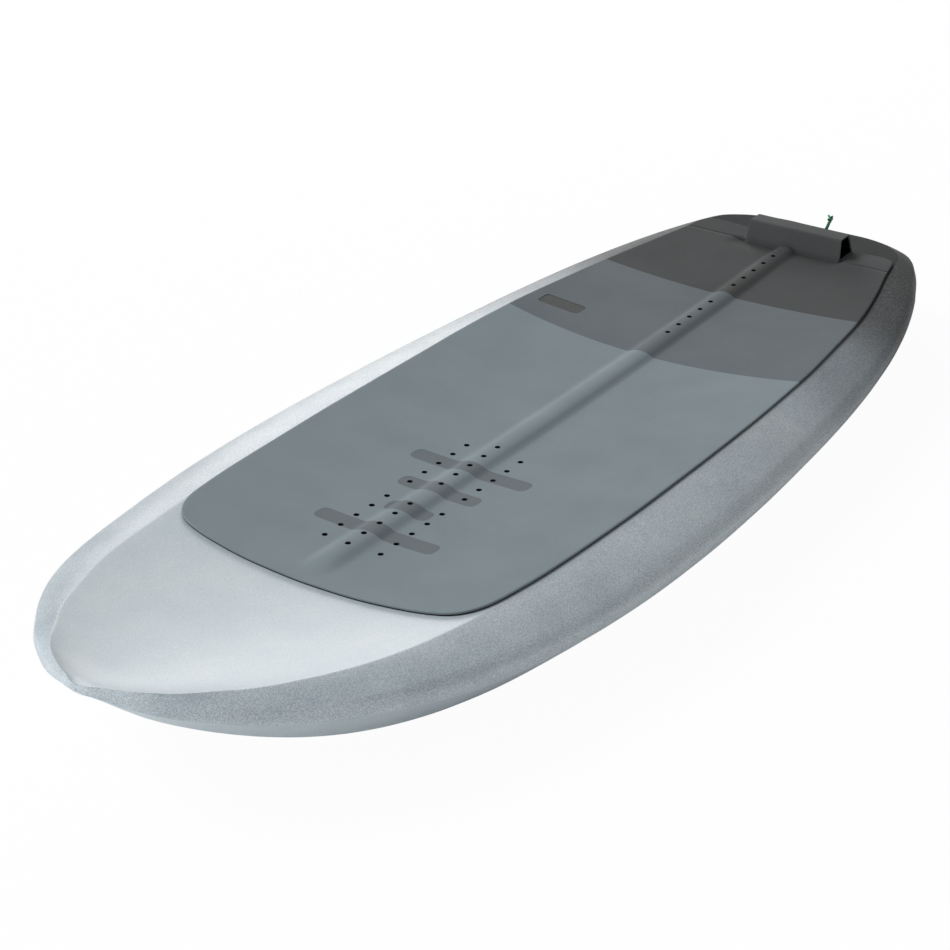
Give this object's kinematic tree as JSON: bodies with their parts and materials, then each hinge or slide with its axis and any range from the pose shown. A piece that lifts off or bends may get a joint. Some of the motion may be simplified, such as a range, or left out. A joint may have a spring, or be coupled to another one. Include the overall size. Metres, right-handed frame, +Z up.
{
  "type": "wing foil board",
  "caption": "Short, wide foam-cored board for wing foiling, with a scooped deck and a full foam pad, a kick block at the tail, foot-strap holes and twin foil tracks underneath.",
  "frame": {"origin": "on the flat of the bottom, under the middle of the board's length and width", "axes": "+X to the nose, +Y to port, +Z up through the deck"},
  "size_m": [1.417, 0.5348, 0.1412],
  "materials": {
    "deck_paint": "fine speckled paint over laminate",
    "bottom_paint": "smooth paint over laminate",
    "core_foam": "expanded foam beads",
    "dense_foam": "dense closed-cell foam",
    "insert_plastic": "moulded, tapped",
    "track_plastic": "moulded",
    "nut_brass": "machined",
    "handle_plastic": "moulded",
    "vent_plastic": "moulded",
    "seal_rubber": "soft",
    "membrane_fabric": "woven",
    "cup_plastic": "moulded",
    "pin_steel": "brushed",
    "cord_braid": "braided, flecked",
    "pad_light": "closed-cell foam, fine grain",
    "pad_mid": "closed-cell foam, fine grain",
    "pad_dark": "closed-cell foam, fine grain",
    "pad_tail": "closed-cell foam, fine grain",
    "mark_foam": "closed-cell foam",
    "patch_rubber": "moulded",
    "block_core_foam": "closed-cell foam"
  },
  "bodies": {
    "board": {"deck_skin": "deck_paint", "bottom_skin": "bottom_paint", "foam_core": "core_foam", "track_block": "dense_foam", "front_strap_plate": "dense_foam", "rear_strap_plate": "dense_foam", "strap_insert_front_middle_fore": "insert_plastic", "strap_insert_front_middle_aft": "insert_plastic", "strap_insert_front_port_fore": "insert_plastic", "strap_insert_front_port_aft": "insert_plastic", "strap_insert_front_starboard_fore": "insert_plastic", "strap_insert_front_starboard_aft": "insert_plastic", "strap_insert_rear_fore": "insert_plastic", "strap_insert_rear_aft": "insert_plastic", "foil_track_port": "track_plastic", "foil_track_starboard": "track_plastic", "handle_cup": "handle_plastic", "handle_grip": "handle_plastic", "vent_bush": "vent_plastic", "vent_membrane": "membrane_fabric", "leash_cup": "cup_plastic", "leash_pin": "pin_steel", "leash_cord": "cord_braid", "leash_knot": "cord_braid", "deck_pad_front": "pad_light", "deck_pad_middle": "pad_mid", "deck_pad_rear": "pad_dark", "tail_pad": "pad_tail", "stance_marks": "mark_foam", "pad_patch": "patch_rubber", "kick_block_core": "block_core_foam", "kick_block_cover": "pad_dark"},
    "t_nut_front_port_body": {"t_nut_front_port": "nut_brass"},
    "t_nut_rear_port_body": {"t_nut_rear_port": "nut_brass"},
    "t_nut_front_starboard_body": {"t_nut_front_starboard": "nut_brass"},
    "t_nut_rear_starboard_body": {"t_nut_rear_starboard": "nut_brass"},
    "seal": {"vent_seal": "seal_rubber"},
    "screw": {"vent_screw": "vent_plastic"}
  },
  "joints": [
    {"name": "t_nut_front_port_slide", "type": "slide", "parent": "board", "child": "t_nut_front_port_body", "axis": [1, 0, 0], "range_m": [-0.0555, 0.0315]},
    {"name": "t_nut_rear_port_slide", "type": "slide", "parent": "board", "child": "t_nut_rear_port_body", "axis": [1, 0, 0], "range_m": [-0.0315, 0.0555]},
    {"name": "t_nut_front_starboard_slide", "type": "slide", "parent": "board", "child": "t_nut_front_starboard_body", "axis": [1, 0, 0], "range_m": [-0.0555, 0.0315]},
    {"name": "t_nut_rear_starboard_slide", "type": "slide", "parent": "board", "child": "t_nut_rear_starboard_body", "axis": [1, 0, 0], "range_m": [-0.0315, 0.0555]},
    {"name": "vent_seal_travel", "type": "slide", "parent": "board", "child": "seal", "axis": [0, 0, -1], "range_m": [0, 0.003]},
    {"name": "vent_screw_turn", "type": "hinge", "parent": "seal", "child": "screw", "pos_m": [0.172, 0, 0], "axis": [0, 0, -1], "range_deg": [0, 1080]}
  ],
  "couplings": [
    {"joint": "vent_screw_turn", "follows": "vent_seal_travel", "rad_per_m": 6282.6}
  ]
}
